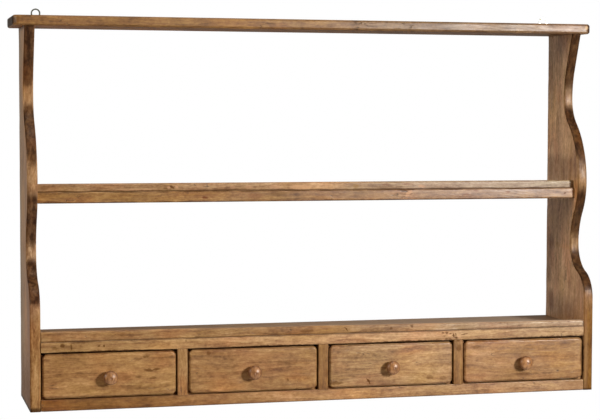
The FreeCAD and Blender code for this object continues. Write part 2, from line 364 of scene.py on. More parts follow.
    def ramp(self, value: Socket, stops: list[tuple[float, Colour]]) -> Socket:
        """A colour that is read from a row of stops.

        Args:
            value: Place along the row, from zero to one.
            stops: Place and colour of each stop, in order.

        Returns:
            The colour.
        """
        node = self.add("ShaderNodeValToRGB")
        self.feed(node.inputs["Fac"], value)
        elements = node.color_ramp.elements
        while len(elements) < len(stops):
            elements.new(0.5)
        for element, (position, colour) in zip(elements, stops):
            element.position = position
            element.color = colour
        return node.outputs["Color"]

    def stained(self, colour: Socket, tone: Colour, mask: Socket, strength: object) -> Socket:
        """A colour with a tone laid over it inside a mask."""
        return self.mix(self.sum("MULTIPLY", mask, strength), colour, tone)

    def bump(self, height: Socket, distance: float, strength: float) -> Socket:
        """A normal that follows a relief.

        Args:
            height: Height of the relief, from zero to one.
            distance: What a height of one stands for, in metres.
            strength: How much of the relief is taken.

        Returns:
            The tilted normal.
        """
        node = self.add("ShaderNodeBump")
        self.feed(node.inputs["Height"], height)
        node.inputs["Distance"].default_value = distance
        node.inputs["Strength"].default_value = strength
        return node.outputs["Normal"]

    def shade(self, colour: object, roughness: object, normal: object | None = None,
              **constants: object) -> bpy.types.Node:
        """Ends the sheet with the standard shader.

        Args:
            colour: Base colour.
            roughness: Roughness.
            normal: Bumped normal, if any.
            constants: Other inputs of the shader, with _ for a space.

        Returns:
            The shader node.
        """
        shader = self.add("ShaderNodeBsdfPrincipled")
        self.feed(shader.inputs["Base Color"], colour)
        self.feed(shader.inputs["Roughness"], roughness)
        if normal is not None:
            self.feed(shader.inputs["Normal"], normal)
        for name, value in constants.items():
            shader.inputs[name.replace("_", " ")].default_value = value
        self.tree.links.new(shader.outputs["BSDF"], self.output.inputs["Surface"])
        return shader


@dataclass(frozen=True)
class Stain:
    """The tones that the stain gives to hard, common and soft grain."""

    dark: Colour = paint(106, 68, 36)
    brown: Colour = paint(138, 95, 54)
    middle: Colour = paint(158, 114, 68)
    golden: Colour = paint(176, 132, 82)
    light: Colour = paint(196, 152, 104)

    def deeper(self, share: float) -> "Stain":
        """The same stain with its light times the share."""
        tones = (self.dark, self.brown, self.middle, self.golden, self.light)
        return Stain(*[(r * share, g * share, b * share, 1.0) for r, g, b, _ in tones])

    def stops(self) -> list[tuple[float, Colour]]:
        """The tones as stops of a colour ramp."""
        return [(0.0, self.dark), (0.27, self.brown), (0.5, self.middle), (0.74, self.golden),
                (1.0, self.light)]


@dataclass(frozen=True)
class Mark:
    """A dark or pale mark on one face of a board, in millimetres of the shelf's own frame: most are marks of
    age, some are painted shade, highlight and reflection, noted where they stand.
    """

    x: float
    z: float
    length: float
    height: float
    tilt: float = 0.0
    tone: Colour = paint(80, 43, 11)
    strength: float = 0.8
    depth: float = -220.0
    width: float = 40.0


def on_face(depth: float, *marks: Mark) -> tuple[Mark, ...]:
    """The marks, moved to a face that lies at the given depth."""
    return tuple(replace(mark, depth=depth) for mark in marks)


@dataclass(frozen=True)
class AgedPine:
    """Old pine, stained and waxed, with blotchy grain, knots, worm holes and short cracks."""

    name: str
    grain: Grain
    seed: float
    low: Triple
    high: Triple
    stain: Stain = Stain()
    face: Face = Face.FRONT
    pith: Triple = (0.0, 0.06, 0.11)
    ring_scale: float = 21.0
    ring_depth: float = 0.22
    contrast: float = 1.0
    knot_share: float = 0.2
    relief: float = 0.0008
    relief_strength: float = 0.6
    roughness: float = 0.38
    roughness_swing: float = 0.08
    gloss: float = 0.5
    dull_gloss: float = 0.12
    dust_roughness: float = 0.6
    # Share of dust from left to right; where it rises towards the right it is also painted sheen
    dust_and_sheen_share: Pair = (0.14, 0.14)
    edge_width: float = 0.002
    edge_dark: float = 0.35
    edge_top: float = 1.0
    edge_foot: float = 1.0
    # Strength of the painted shade in the gap round a drawer
    gap_shade: float = 0.0
    # Tints from left to right: the stain's drift, and painted sheen where they turn paler and greyer
    fade: Fade = EVEN
    sawn_above: float | None = None
    # Depth of the tones of the sawn curves and their painted shade
    sawn_and_shade_tone: Triple = PLAIN
    front_tone: Triple = PLAIN
    # Tints of a side's flat faces from front to back: painted shade at the front and painted sheen behind
    depth_shade_and_sheen: Fade = EVEN
    end_tone: float = 1.0
    jitter: float = 0.006
    marks: tuple[Mark, ...] = ()

    def turn(self) -> Triple:
        """The turn that brings the fibres onto the first axis."""
        quarter = math.pi / 2
        turns = {Grain.UPRIGHT: (0.0, quarter, 0.0), Grain.INWARD: (0.0, 0.0, -quarter)}
        return turns.get(self.grain, (0.0, 0.0, 0.0))

    def build(self) -> bpy.types.Material:
        """Makes the material.

        Returns:
            The finished material.
        """
        sheet = NodeSheet(self.name)
        place = sheet.place()
        shift = (self.seed * 3.71, self.seed * 0.37, self.seed * 0.53)
        fibre = sheet.mapped(place, rotation=self.turn(), location=shift)
        wander = sheet.vector_sum("SUBTRACT", sheet.noise_vector(fibre, (4, 12, 12)), (0.5, 0.5, 0.5))
        drift = sheet.vector_sum("MULTIPLY", wander, (0.0, 0.04, 0.04))
        wavy = sheet.vector_sum("ADD", fibre, drift)
        fine = sheet.noise(wavy, (50, 380, 380), 3, 0.6)
        streak = sheet.noise(wavy, (15, 115, 115), 3, 0.6)
        colour = self.grain_colour(sheet, fibre, wavy, fine, streak)
        colour = self.tinted(sheet, fibre, colour)
        tremble = sheet.noise_vector(place, (140, 140, 140))
        shaken = sheet.vector_sum("ADD", place, sheet.vector_sum("MULTIPLY", tremble, (self.jitter,) * 3))
        masks = []
        if self.sawn_above is not None:
            colour, edge = self.sawn_and_shaded(sheet, place, fibre, colour)
            masks.append(edge)
        if self.end_tone < 1:
            colour, end = self.ended(sheet, colour)
            masks.append(end)
        colour = self.knotted(sheet, shaken, colour)
        colour, crack = self.cracked(sheet, fibre, wavy, colour)
        colour, hole = self.wormed(sheet, shaken, colour)
        colour = self.faded(sheet, place, colour)
        for mark in self.marks:
            colour, spot = self.marked(sheet, shaken, colour, mark)
            masks.append(spot)
        colour, dull = self.edges_and_gap_shade(sheet, place, fibre, colour)
        for mask in masks:
            dull = sheet.sum("MAXIMUM", dull, mask)
        height = sheet.sum("ADD", sheet.sum("MULTIPLY", fine, 0.4), sheet.sum("MULTIPLY", streak, 0.6))
        for hollow in (crack, hole):
            height = sheet.sum("SUBTRACT", height, hollow)
        self.finish(sheet, place, colour, streak, height, dull)
        return sheet.material

    def finish(self, sheet: NodeSheet, place: Socket, colour: Socket, streak: Socket, height: Socket,
               dull: Socket) -> None:
        """Lays dust on the faces that look upwards, which on the lower shelf and lip is also painted sheen,
        and ends the sheet with the shader.

        Args:
            sheet: Sheet of the material.
            place: Point on the piece.
            colour: Colour of the wood.
            streak: Streaks of a few millimetres.
            height: Relief of the fibres, cracks and holes.
            dull: Mask of where the gloss is lowered: lost wax, end grain, marks, and the painted shade.
        """
        dust_and_sheen = sheet.span(sheet.facing()[2], 0.8, 0.98)
        swing = self.roughness_swing
        waxed = sheet.span(streak, 0.25, 0.75, self.roughness + swing, self.roughness - swing)
        rough = sheet.sum("MAXIMUM", waxed, sheet.sum("MULTIPLY", dust_and_sheen, self.dust_roughness))
        # Dust on the faces that look up, shared out from left to right; on the lower shelf and lip, where it
        # rises to the right, it is also painted sheen
        lying = sheet.span(sheet.parts(place)[0], self.low[0], self.high[0], *self.dust_and_sheen_share)
        share = sheet.sum("MULTIPLY", lying, sheet.sum("SUBTRACT", 1, dull))
        dusted_and_sheened = sheet.stained(colour, DUST_AND_SHEEN, dust_and_sheen, share)
        shader = sheet.shade(dusted_and_sheened, rough, sheet.bump(height, self.relief, self.relief_strength))
        gloss = sheet.span(dull, 0, 1, self.gloss, self.dull_gloss)
        sheet.feed(shader.inputs["Specular IOR Level"], gloss)

    def grain_colour(self, sheet: NodeSheet, fibre: Socket, wavy: Socket, fine: Socket,
                     streak: Socket) -> Socket:
        """The tones of the growth rings and of the fibres between them.

        Args:
            sheet: Sheet of the material.
            fibre: Point with the fibres along its first axis.
            wavy: The same point, moved by the wander of the grain.
            fine: Fine fibres.
            streak: Streaks of a few millimetres.

        Returns:
            The colour.
        """
        rings = sheet.add("ShaderNodeTexWave", wave_type="RINGS", rings_direction="X",
                          wave_profile="SAW")
        sheet.feed(rings.inputs["Vector"], sheet.mapped(wavy, scale=(0.1, 1, 1), location=self.pith))
        settings = {"Scale": self.ring_scale, "Distortion": 3.0, "Detail": 2.0, "Detail Scale": 1.5}
        for name, value in settings.items():
            rings.inputs[name].default_value = value
        broad = sheet.noise(wavy, (6, 42, 42))
        blotch = sheet.noise(fibre, (13, 26, 26), 3, 0.6)
        grit = sheet.noise(fibre, (160, 330, 330), 2, 0.6)
        vein = sheet.noise(wavy, (8, 190, 190), 2, 0.6, (5, 2, 8))
        mottle = sheet.noise(fibre, (75, 120, 120), 4, 0.7, (6, 4, 3))
        tone = sheet.sum("MULTIPLY", sheet.sum("SUBTRACT", rings.outputs["Fac"], 0.5), -self.ring_depth)
        shares = ((fine, 0.65), (vein, 0.6), (streak, 0.55), (broad, 0.6), (blotch, 0.85), (grit, 0.6),
                  (mottle, 1.0))
        for part, share in shares:
            centred = sheet.sum("SUBTRACT", part, 0.5)
            tone = sheet.sum("ADD", tone, sheet.sum("MULTIPLY", centred, share * self.contrast))
        return sheet.ramp(sheet.sum("ADD", tone, 0.5), self.stain.stops())

    def tinted(self, sheet: NodeSheet, fibre: Socket, colour: Socket) -> Socket:
        """Lays reddish, olive and golden clouds over the grain.

        Args:
            sheet: Sheet of the material.
            fibre: Point with the fibres along its first axis.
            colour: Colour so far.

        Returns:
            The colour with the clouds.
        """
        cloud = sheet.noise(fibre, (9, 22, 22), location=(7, 3, 1))
        wide = sheet.noise(fibre, (5, 13, 13), 2, location=(2, 9, 5))
        for noise_used, full, tint in ((cloud, 0.7, REDDISH), (cloud, 0.3, OLIVE), (wide, 0.68, GOLDEN)):
            colour = sheet.mix(sheet.span(noise_used, 0.5, full), colour, tint, "MULTIPLY")
        return colour

    def sawn_and_shaded(self, sheet: NodeSheet, place: Socket, fibre: Socket,
             colour: Socket) -> tuple[Socket, Socket]:
        """Darkens the front edge of a side, where its sawn curves show end grain, and paints shade on the
        steep parts of the curves that face up or down, with a lighter tone on the gentle parts.

        The flat faces of the side get painted shade and sheen from front to back: darker and browner at the
        front, paler and greyer behind.

        Args:
            sheet: Sheet of the material.
            place: Point on the piece.
            fibre: Point with the fibres along its first axis.
            colour: Colour so far.

        Returns:
            The colour with the end grain and the painted shade, and the mask of the front edge.
        """
        sideways, _, upward = sheet.facing()
        _, inward, level = sheet.parts(place)
        edge = sheet.span(sheet.sum("ABSOLUTE", sideways, 0), 0.84, 0.97, 1, 0)
        upper = sheet.span(level, self.sawn_above - 0.05, self.sawn_above + 0.02)
        patch = sheet.span(sheet.noise(fibre, (28, 90, 90), 3, 0.6, (4, 2, 6)), 0.36, 0.64)
        # Steep parts of the curves, facing up or down, get painted shade; gentle parts a lighter tone
        steep_shade = sheet.mix(patch, self.toned(0.14, 0.1, 0.07), self.toned(0.38, 0.3, 0.22))
        gentle = sheet.mix(patch, self.toned(0.8, 0.76, 0.66), self.toned(1.2, 1.2, 1.1))
        slope = sheet.sum("ABSOLUTE", sheet.sum("ADD", upward, -0.06), 0)
        slope_shade = sheet.mix(sheet.span(slope, 0.06, 0.28), gentle, steep_shade)
        # Flat faces: painted shade at the front and painted sheen behind, from front to back
        flat = sheet.ramp(sheet.span(inward, self.low[1], self.high[1]), stops_of(self.depth_shade_and_sheen))
        tone = sheet.mix(edge, flat, sheet.mix(upper, (*self.front_tone, 1.0), slope_shade))
        return sheet.mix(1.0, colour, tone, "MULTIPLY"), edge

    def toned(self, red: float, green: float, blue: float) -> Colour:
        """A tone of the sawn curves and their painted shade, in the depth that this side has."""
        depth = self.sawn_and_shade_tone
        return (red * depth[0], green * depth[1], blue * depth[2], 1.0)

    def ended(self, sheet: NodeSheet, colour: Socket) -> tuple[Socket, Socket]:
        """Darkens the end grain, and paints shade on the underside of a long board with a darker, warmer
        tint.

        Args:
            sheet: Sheet of the material.
            colour: Colour so far.

        Returns:
            The colour, and the mask of what is darkened.
        """
        sideways, _, upward = sheet.facing()
        end = sheet.span(sheet.sum("ABSOLUTE", sideways, 0), 0.6, 0.92)
        # Faces that look down get a darker, warmer tint: painted shade
        underside_shade = sheet.span(upward, -0.8, -0.97)
        shaded = sheet.mix(underside_shade, colour, UNDERSIDE_SHADE, "MULTIPLY")
        tone = (self.end_tone, self.end_tone * 0.86, self.end_tone * 0.76, 1.0)
        return sheet.mix(end, shaded, tone, "MULTIPLY"), sheet.sum("MAXIMUM", end, underside_shade)

    def spots(self, sheet: NodeSheet, place: Socket, scale: Triple, share: float,
              radius: float) -> Socket:
        """Scattered round spots that run through the board.

        Args:
            sheet: Sheet of the material.
            place: Point on the piece.
            scale: Cells for each metre along each axis, zero along the way that they run.
            share: How many of the cells have a spot.
            radius: Radius of a spot as a share of a cell.

        Returns:
            One in a spot and zero elsewhere.
        """
        shift = (self.seed * 1.7, self.seed * 2.3, self.seed * 0.9)
        cells = sheet.cells(sheet.mapped(place, scale=scale, location=shift))
        draws = sheet.add("ShaderNodeSeparateColor")
        sheet.feed(draws.inputs[0], cells.outputs["Color"])
        chosen = sheet.sum("GREATER_THAN", draws.outputs[0], 1 - share)
        size = sheet.sum("ADD", sheet.sum("MULTIPLY", draws.outputs[1], 0.6), 0.5)
        inside = sheet.sum("DIVIDE", cells.outputs["Distance"], size)
        return sheet.sum("MULTIPLY", sheet.span(inside, radius * 0.45, radius, 1, 0), chosen)

    def through(self, along: float, across: float) -> Triple:
        """Cell counts for spots that run through the face of a board that is seen most.

        Args:
            along: Cells for each metre along the fibres.
            across: Cells for each metre across them.

        Returns:
            Cells for each metre along each axis.
        """
        upright = self.grain is Grain.UPRIGHT
        if self.face is Face.SIDE:
            return (0.0, across, along) if upright else (0.0, along, across)
        if self.face is Face.TOP:
            return (along, across, 0.0)
        return (across, 0.0, along) if upright else (along, 0.0, across)

    def knotted(self, sheet: NodeSheet, place: Socket, colour: Socket) -> Socket:
        """Adds knots, dark at the heart.

        Args:
            sheet: Sheet of the material.
            place: Point on the piece, a little shaken.
            colour: Colour so far.

        Returns:
            The colour with the knots.
        """
        cells = self.through(6.0, 14.0)
        knot = self.spots(sheet, place, cells, self.knot_share, 0.16)
        heart = self.spots(sheet, place, cells, self.knot_share, 0.08)
        return sheet.stained(sheet.stained(colour, self.stain.dark, knot, 0.4), HEART, heart, 0.45)

    def cracked(self, sheet: NodeSheet, fibre: Socket, wavy: Socket,
                colour: Socket) -> tuple[Socket, Socket]:
        """Adds short dark cracks along the fibres.

        Args:
            sheet: Sheet of the material.
            fibre: Point with the fibres along its first axis.
            wavy: The same point, moved by the wander of the grain.
            colour: Colour so far.

        Returns:
            The colour and the mask of the cracks.
        """
        line = sheet.noise(wavy, (24, 140, 140), 1, location=(2, 5, 9))
        near = sheet.sum("ABSOLUTE", sheet.sum("SUBTRACT", line, 0.5), 0)
        area = sheet.noise(fibre, (14, 34, 34), 2, location=(1, 8, 4))
        mask = sheet.sum("MULTIPLY", sheet.span(near, 0.006, 0.022, 1, 0), sheet.span(area, 0.6, 0.68))
        return sheet.stained(colour, CRACK, mask, 0.7), mask

    def wormed(self, sheet: NodeSheet, place: Socket, colour: Socket) -> tuple[Socket, Socket]:
        """Adds worm holes and dents, and returns the colour and their mask."""
        mask = self.spots(sheet, place, self.through(30.0, 44.0), 0.11, 0.13)
        return sheet.stained(colour, HOLE, mask, 0.75), mask

    def faded(self, sheet: NodeSheet, place: Socket, colour: Socket) -> Socket:
        """Fades the tone of the board from left to right: the stain's drift, with painted sheen where the
        tints turn paler and greyer.
        """
        share = sheet.span(sheet.parts(place)[0], self.low[0], self.high[0])
        return sheet.mix(1.0, colour, sheet.ramp(share, stops_of(self.fade)), "MULTIPLY")

    def marked(self, sheet: NodeSheet, place: Socket, colour: Socket,
               mark: Mark) -> tuple[Socket, Socket]:
        """Adds one of the board's own marks of age.

        Args:
            sheet: Sheet of the material.
            place: Point on the piece, a little shaken.
            colour: Colour so far.
            mark: The mark.

        Returns:
            The colour and the mask of the mark.
        """
        centre = tuple(value * MM + self.jitter / 2 for value in (mark.x, mark.depth, mark.z))
        unit = tuple(value / 2 * MM for value in (mark.length, mark.width, mark.height))
        far = sheet.reach(place, centre, unit, math.radians(mark.tilt))
        inside = sheet.span(far, 0.5, 1.1, mark.strength, 0)
        return sheet.mix(inside, colour, mark.tone), inside

    def edges_and_gap_shade(self, sheet: NodeSheet, place: Socket, fibre: Socket,
                   colour: Socket) -> tuple[Socket, Socket]:
        """Darkens the stain along the arrises, which in the joint lines is painted shade, and paints shade
        into the gap round a drawer.

        Args:
            sheet: Sheet of the material.
            place: Point on the piece.
            fibre: Point with the fibres along its first axis.
            colour: Colour so far.

        Returns:
            The colour and the mask of what is darkened.
        """
        middle = tuple((a + b) / 2 for a, b in zip(self.low, self.high))
        half = tuple((b - a) / 2 for a, b in zip(self.low, self.high))
        off = sheet.vector_sum("SUBTRACT", place, middle)
        away = sheet.vector_sum("ABSOLUTE", off, (0.0, 0.0, 0.0))
        x, y, z = sheet.parts(sheet.vector_sum("SUBTRACT", half, away))
        least = sheet.sum("MINIMUM", x, y)
        most = sheet.sum("MAXIMUM", x, y)
        second = sheet.sum("MAXIMUM", least, sheet.sum("MINIMUM", most, z))
        ragged = sheet.noise(fibre, (25, 70, 70), 3, 0.6, (3, 1, 7))
        limit = sheet.sum("MULTIPLY", sheet.span(ragged, 0.25, 0.75, 0.5, 1.4), self.edge_width)
        near = sheet.span(sheet.sum("DIVIDE", second, limit), 0.3, 1.2, 1, 0)
        _, inward, level = sheet.parts(place)
        depth = sheet.span(level, middle[2] - half[2] * 0.5, middle[2] + half[2] * 0.5,
                           self.edge_dark * self.edge_foot, self.edge_dark * self.edge_top)
        share = sheet.sum("MULTIPLY", near, depth)
        # Dark stain along the arrises; in the joint lines between boards it is painted shade
        edged = sheet.mix(share, colour, ARRIS)
        # Painted shade in the gap round a drawer, on the rounded arris behind the front face
        if self.gap_shade:
            gap_shade_mask = sheet.span(inward, self.low[1] + GAP_SHADE_START, self.low[1] + GAP_SHADE_END, 0, self.gap_shade)
            edged = sheet.mix(gap_shade_mask, edged, GAP_SHADE_TONE)
            share = sheet.sum("MAXIMUM", share, gap_shade_mask)
        return edged, share


@dataclass(frozen=True)
class TurnedLacquer:
    """Turned wood under a clear lacquer, with painted shade round its rim, and dark in the dimple of its
    face.
    """

    name: str
    centre: Triple
    light: Colour = paint(172, 124, 80)
    dark: Colour = paint(124, 82, 46)
    # Painted shade round the rim
    rim_shade: Colour = paint(84, 46, 22)
    dimple_tone: Colour = paint(104, 62, 28)

    def build(self) -> bpy.types.Material:
        """Makes the material.

        Returns:
            The finished material.
        """
        sheet = NodeSheet(self.name)
        place = sheet.place()
        streak = sheet.noise(place, (300, 60, 90))
        cloud = sheet.noise(place, (90, 90, 90), 2)
        tone = sheet.sum("ADD", sheet.sum("MULTIPLY", streak, 0.6), sheet.sum("MULTIPLY", cloud, 0.4))
        colour = sheet.ramp(sheet.span(tone, 0.36, 0.64), [(0.0, self.dark), (1.0, self.light)])
        radius = sheet.reach(place, self.centre, (MM, 1.0, MM))
        # Painted shade round the rim of the head
        colour = sheet.mix(sheet.span(radius, 10.0, 15.0, 0, 0.62), colour, self.rim_shade)
        colour = sheet.mix(sheet.span(radius, 2.2, 4.4, 0.6, 0), colour, self.dimple_tone)
        normal = sheet.bump(streak, 0.0002, 0.3)
        rough = sheet.span(cloud, 0.3, 0.7, 0.46, 0.38)
        sheet.shade(colour, rough, normal, Coat_Weight=0.1, Coat_Roughness=0.32)
        return sheet.material


@dataclass(frozen=True)
class DullSteel:
    """Plated steel that has gone dull."""

    name: str
    light: Colour = paint(150, 150, 138)
    dark: Colour = paint(82, 81, 68)

    def build(self) -> bpy.types.Material:
        """Makes the material.

        Returns:
            The finished material.
        """
        sheet = NodeSheet(self.name)
        place = sheet.place()
        cloud = sheet.noise(place, (300, 300, 300), 4)
        speck = sheet.noise(place, (1400, 1400, 1400), 2)
        colour = sheet.ramp(sheet.span(cloud, 0.35, 0.65), [(0.0, self.dark), (1.0, self.light)])
        normal = sheet.bump(speck, 0.0001, 0.4)
        rough = sheet.span(cloud, 0.3, 0.7, 0.5, 0.3)
        sheet.shade(colour, rough, normal, Metallic=1.0)
        return sheet.material


def dress_node(node: str, material: bpy.types.Material) -> None:
    """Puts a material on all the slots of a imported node.

    Args:
        node: Name of the node.
        material: Its new finish.
    """
    shown = bpy.data.objects[node]
    if not shown.material_slots:
        shown.data.materials.append(material)
    for slot in shown.material_slots:
        slot.material = material
    LOG.info("%s is dressed in %s", node, material.name)


def node_box(node: str) -> tuple[Triple, Triple]:
    """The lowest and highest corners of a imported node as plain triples."""
    low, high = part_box(node)
    return tuple(low), tuple(high)


def add_piece(shape: bmesh.types.BMesh, name: str, node: str, body: str,
              material: bpy.types.Material) -> bpy.types.Object:
    """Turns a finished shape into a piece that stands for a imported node.

    Args:
        shape: The shape, which is freed.
        name: Name of the piece.
        node: The node that it stands for.
        body: The body that it rides on.
        material: Its finish.

    Returns:
        The piece.
    """
    mesh = bpy.data.meshes.new(name)
    shape.to_mesh(mesh)
    shape.free()
    if "custom_normal" in mesh.attributes:
        mesh.attributes.remove(mesh.attributes["custom_normal"])
    mesh.materials.append(material)
    mesh.shade_smooth()
    mesh.set_sharp_from_angle(angle=SHARP_TURN)
    piece = bpy.data.objects.new(name, mesh)
    bpy.context.collection.objects.link(piece)
    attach(piece, body)
    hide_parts(node)
    LOG.info("%s stands for %s", name, node)
    return piece


@dataclass
class WornBoard:
    """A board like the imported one, with its rounded arrises worn unevenly."""

    node: str
    body: str
    slot: str
    finish: AgedPine
    wear: float = 0.0011
    spacing: float = 0.014
    reach: float = 0.012
    lift: Pair = LEVEL
    full_round: float = 0.29
    least_share: float = 0.05
    most_share: float = 1.3
    slow_scale: float = 14.0
    quick_scale: float = 55.0
    quick_start: float = 0.15

    def build(self) -> bpy.types.Object:
        """Makes the piece.

        Returns:
            The piece that stands for the board.
        """
        shape = bmesh.new()
        shape.from_mesh(bpy.data.objects[self.node].data)
        bmesh.ops.remove_doubles(shape, verts=shape.verts, dist=MERGE_DISTANCE)
        self.divide(shape)
        self.wear_arrises(shape)
        self.raise_top(shape)
        return add_piece(shape, f"worn_{self.node}", self.node, self.body,
                         self.finish.build())

    def divide(self, shape: bmesh.types.BMesh) -> None:
        """Cuts the board across its length, so that its arrises can wander.

        Args:
            shape: The board.
        """
        low, high = (Vector(corner) for corner in node_box(self.node))
        axis = 2 if self.finish.grain is Grain.UPRIGHT else 0
        count = int((high[axis] - low[axis]) / self.spacing)
        across = Vector((0, 0, 0))
        across[axis] = 1
        for index in range(1, count):
            point = low + (high - low) * (index / count)
            geometry = list(shape.verts) + list(shape.edges) + list(shape.faces)
            bmesh.ops.bisect_plane(shape, geom=geometry, dist=MERGE_DISTANCE, plane_co=point,
                                   plane_no=across)

    def raise_top(self, shape: bmesh.types.BMesh) -> None:
        """Makes the board taller by its lift at the left end, at the right end and evenly between.

        Args:
            shape: The board.
        """
        low, high = node_box(self.node)
        for vert in shape.verts:
            if vert.co.z > (low[2] + high[2]) / 2:
                share = (vert.co.x - low[0]) / (high[0] - low[0])
                vert.co.z += self.lift[0] + (self.lift[1] - self.lift[0]) * share

    def wear_arrises(self, shape: bmesh.types.BMesh) -> None:
        """Takes a little wood off the rounded arrises near the front, here more and there less.

        Args:
            shape: The board.
        """
        low, high = node_box(self.node)
        shape.normal_update()
        for vert in shape.verts:
            share = self.arris_share(vert, low, high)
            if share < self.least_share:
                continue
            place = vert.co + Vector((self.finish.seed, 0, self.finish.seed * 0.3))
            slow = 0.5 + 0.5 * noise.noise(place * self.slow_scale)
            quick = max(0.0, noise.noise(place * self.quick_scale) - self.quick_start)
            vert.co -= vert.normal * (self.wear * share * min(self.most_share, slow + quick))

    def arris_share(self, vert: bmesh.types.BMVert, low: Triple, high: Triple) -> float:
        """How much of the wear a vertex takes.

        Args:
            vert: A vertex of the board.
            low: Lowest corner of the board.
            high: Highest corner of the board.

        Returns:
            One in the middle of an arris, and zero on a flat face or out of reach.
        """
        normal = vert.normal
        if self.finish.grain is Grain.UPRIGHT:
            if min(vert.co.z - low[2], high[2] - vert.co.z) < self.reach:
                return 0.0
            flat = max(abs(normal.x), math.sqrt(max(0.0, 1 - normal.x ** 2)))
        elif vert.co.y > low[1] + self.reach:
            return 0.0
        else:
            flat = max(abs(normal.x), abs(normal.y), abs(normal.z))
        return min(1.0, (1 - flat) / self.full_round)


@dataclass(frozen=True)
class LongBoard:
    """One of the boards that run from left to right, with its tints and marks: some of age, some painted
    sheen and shade.
    """

    node: str
    seed: float
    depth: float
    fade: Fade
    marks: tuple[Mark, ...]
    slot: str = "pine_boards"
    roughness: float = 0.38
    end_tone: float = 1.0
    edge_width: float = 0.0026
    edge_dark: float = 0.62
    edge_top: float = 1.0
    edge_foot: float = 1.0
    # Share of dust from left to right, which on the lower shelf and lip is also painted sheen
    dust_and_sheen: Pair = CLEAN
    lift: Pair = LEVEL

    def build(self) -> bpy.types.Object:
        """Makes the board.

        Returns:
            The piece.
        """
        low, high = node_box(self.node)
        raised = (high[0], high[1], high[2] + max(self.lift))
        finish = AgedPine(f"pine_{self.node}", Grain.ALONG, self.seed, low, raised,
                          stain=Stain().deeper(self.depth), fade=self.fade, marks=self.marks,
                          roughness=self.roughness, end_tone=self.end_tone,
                          edge_width=self.edge_width, edge_dark=self.edge_dark,
                          edge_top=self.edge_top, edge_foot=self.edge_foot, dust_and_sheen_share=self.dust_and_sheen)
        return WornBoard(self.node, CARCASS, self.slot, finish, lift=self.lift).build()


@dataclass(frozen=True)
class Divider:
    """One of the short uprights between the drawers."""

    node: str
    seed: float
    tint: Triple
    marks: tuple[Mark, ...] = ()
    wear: float = 0.0007

    def build(self) -> bpy.types.Object:
        """Makes the divider.

        Returns:
            The piece.
        """
        finish = AgedPine(f"pine_{self.node}", Grain.UPRIGHT, self.seed, *node_box(self.node),
                          pith=UPRIGHT_PITH, fade=(self.tint, self.tint, self.tint), marks=self.marks)
        return WornBoard(self.node, CARCASS, "pine_boards", finish, wear=self.wear).build()


@dataclass(frozen=True)
class ScallopedSide:
    """One of the two sides, with dark end grain where its front edge is sawn in curves, painted shade on the
    steep parts of the curves, and painted shade and sheen from front to back on its flat faces.
    """

    node: str
    seed: float
    depth: float
    sawn_and_shade_tone: Triple
    front_tone: Triple
    depth_shade_and_sheen: Fade
    marks: tuple[Mark, ...]
    shoulder: float = -0.605
    wear: float = 0.0009

    def build(self) -> bpy.types.Object:
        """Makes the side.

        Returns:
            The piece.
        """
        finish = AgedPine(f"pine_{self.node}", Grain.UPRIGHT, self.seed, *node_box(self.node),
                          stain=Stain().deeper(self.depth), face=Face.SIDE, pith=UPRIGHT_PITH,
                          sawn_above=self.shoulder, sawn_and_shade_tone=self.sawn_and_shade_tone,
                          front_tone=self.front_tone, depth_shade_and_sheen=self.depth_shade_and_sheen, marks=self.marks)
        return WornBoard(self.node, CARCASS, "pine_boards", finish, wear=self.wear).build()


# Marks that the photo shows: most are marks of age; painted shade, highlight and reflection among them are
# noted where they stand
TOP_MARKS = on_face(
    -140,
    Mark(637.4, 3.1, 9, 9, tone=paint(214, 182, 140), strength=0.6),
    # The second mark darkens the front at the right end, where it turns round the corner
    Mark(647, 0, 16, 60, tone=paint(58, 40, 34), strength=0.95, width=120),
)
SHELF_MARKS = on_face(
    -161,
    Mark(580.6, -371.2, 7, 6), Mark(-247.5, -373.4, 16, 6, tone=paint(90, 34, 16), strength=0.7),
    Mark(-246, -370, 60, 14, tone=DUSKY, strength=0.3),
    Mark(-138, -371, 44, 14, tone=DUSKY, strength=0.35),
    Mark(-87, -366.3, 48, 14, tone=paint(96, 68, 42), strength=0.45),
    Mark(210, -367.6, 22, 10, tilt=-40, tone=PALE, strength=0.45),
    Mark(343, -371.1, 16, 6, tone=DUSKY, strength=0.45),
    Mark(367, -364.6, 16, 5, tone=DUSKY, strength=0.45),
    Mark(443, -366.8, 16, 6, tone=DUSKY, strength=0.5),
)
MIDDLE_MARKS = on_face(
    -155,
    Mark(-317.8, -350.4, 14, 4.5, tilt=35), Mark(-327.7, -353.3, 22, 6, strength=0.5),
    Mark(-325, -351, 8, 7, tone=PALE, strength=0.6),
    Mark(-308, -350.6, 9, 7, tilt=35, tone=PALE, strength=0.6),
    # The long thin pale strip along the foot of the lip is a painted highlight
    Mark(-397, -355.2, 110, 3.5, tone=PALE, strength=0.5), Mark(-588, -350.3, 26, 14, strength=0.35),
    Mark(-187, -351.4, 16, 9, tone=PALE, strength=0.3), Mark(-150, -351.7, 22, 10, tone=PALE, strength=0.35),
    Mark(-92, -352.2, 30, 11, tone=PALE, strength=0.35), Mark(-35, -352.6, 60, 12, tone=PALE, strength=0.45),
    Mark(90, -351.5, 18, 14, tone=paint(140, 108, 62), strength=0.5),
    Mark(159, -348.7, 24, 7, tone=DUSKY, strength=0.4), Mark(210, -348, 34, 7, tone=DUSKY, strength=0.45),
    Mark(242, -352.7, 20, 8, tone=PALE, strength=0.45),
)
